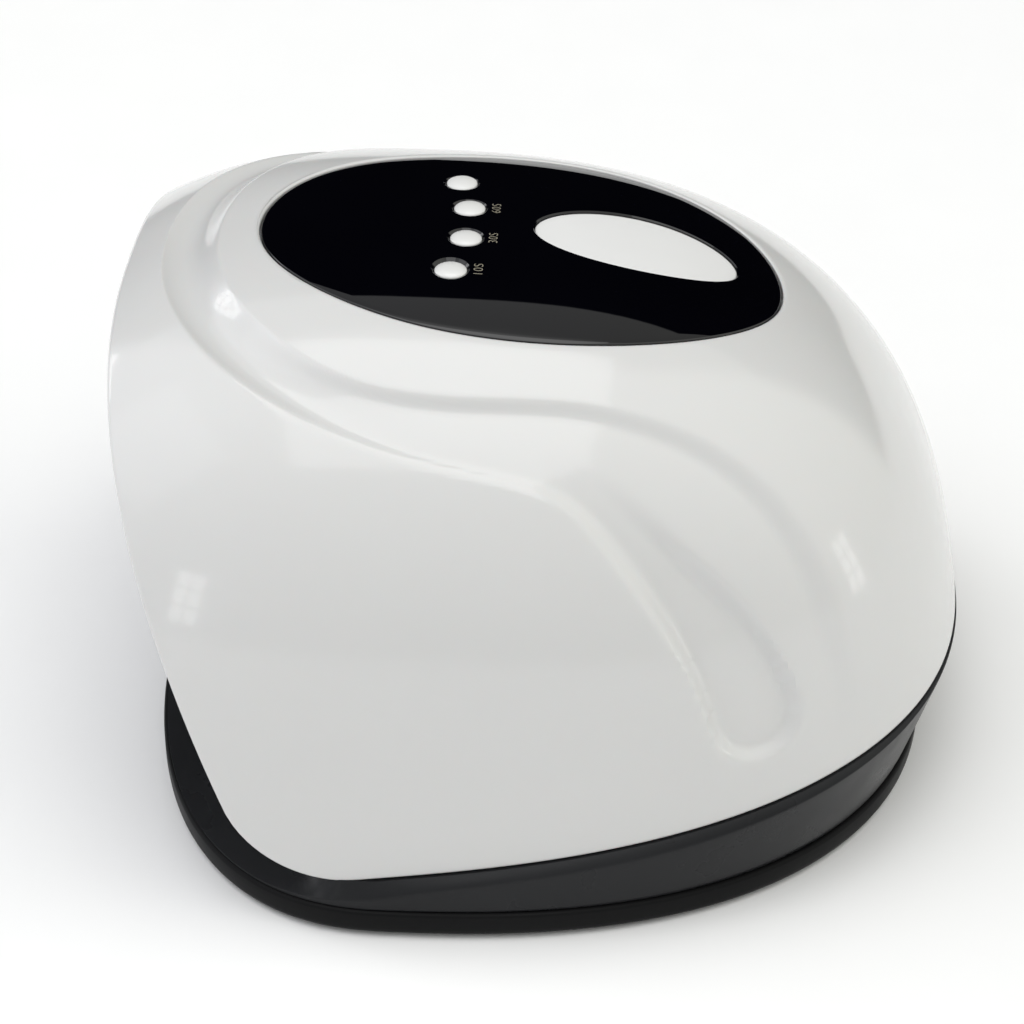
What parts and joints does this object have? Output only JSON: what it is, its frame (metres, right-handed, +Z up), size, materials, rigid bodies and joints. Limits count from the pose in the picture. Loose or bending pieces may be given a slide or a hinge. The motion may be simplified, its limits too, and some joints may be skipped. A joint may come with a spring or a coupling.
{
  "type": "nail polish fan dryer",
  "caption": "Domed tabletop nail dryer with a slanted hand opening, lamp-lined chamber, rear fan and an oval button panel on top.",
  "frame": {"origin": "middle of the outline at the height of the surface it stands on", "axes": "+Z up; the hand opening faces -Y; +X to the right when seen from the front"},
  "size_m": [0.1986, 0.1918, 0.1205],
  "materials": {
    "shell_white": "gloss",
    "panel_black": "high gloss",
    "window_grey": "satin",
    "button_white": "gloss",
    "base_black": "satin",
    "inner_black": "matt",
    "module_grey": "matt",
    "liner_silver": "metallised",
    "lamp_clear": "clear gloss",
    "board_green": "satin",
    "foot_rubber": "matt",
    "screw_steel": "bright"
  },
  "bodies": {
    "housing": {"upper_shell": "shell_white", "control_panel": "panel_black", "display_window": "window_grey", "button_guide": "inner_black", "control_board": "board_green", "tact_switches": "inner_black", "display_module": "module_grey", "mouth_fascia": "liner_silver", "inner_liner": "liner_silver", "lamp_lenses": "lamp_clear", "led_board_top": "board_green", "led_board_left": "board_green", "led_board_right": "board_green", "hand_sensor": "inner_black", "lower_housing": "base_black", "base_tray": "base_black", "power_board": "board_green", "inlet_jack": "inner_black", "fan_frame": "inner_black", "rubber_feet": "foot_rubber", "shell_screws": "screw_steel", "tray_screws": "screw_steel", "liner_screws": "screw_steel", "board_screws": "screw_steel", "fan_screws": "screw_steel"},
    "button_10": {"button_10": "button_white"},
    "button_30": {"button_30": "button_white"},
    "button_60": {"button_60": "button_white"},
    "button_mode": {"button_mode": "button_white"},
    "rotor": {"fan_rotor": "inner_black"}
  },
  "joints": [
    {"name": "button_10_press", "type": "slide", "parent": "housing", "child": "button_10", "axis": [0, 0, -1], "range_m": [0, 0.0008], "stiffness_N_per_m": 1500},
    {"name": "button_30_press", "type": "slide", "parent": "housing", "child": "button_30", "axis": [0, 0, -1], "range_m": [0, 0.0008], "stiffness_N_per_m": 1500},
    {"name": "button_60_press", "type": "slide", "parent": "housing", "child": "button_60", "axis": [0, 0, -1], "range_m": [0, 0.0008], "stiffness_N_per_m": 1500},
    {"name": "button_mode_press", "type": "slide", "parent": "housing", "child": "button_mode", "axis": [0, 0, -1], "range_m": [0, 0.0008], "stiffness_N_per_m": 1500},
    {"name": "rotor_spin", "type": "hinge", "parent": "housing", "child": "rotor", "pos_m": [0, 0.05004, 0.04], "axis": [0, 1, 0], "continuous": true}
  ]
}
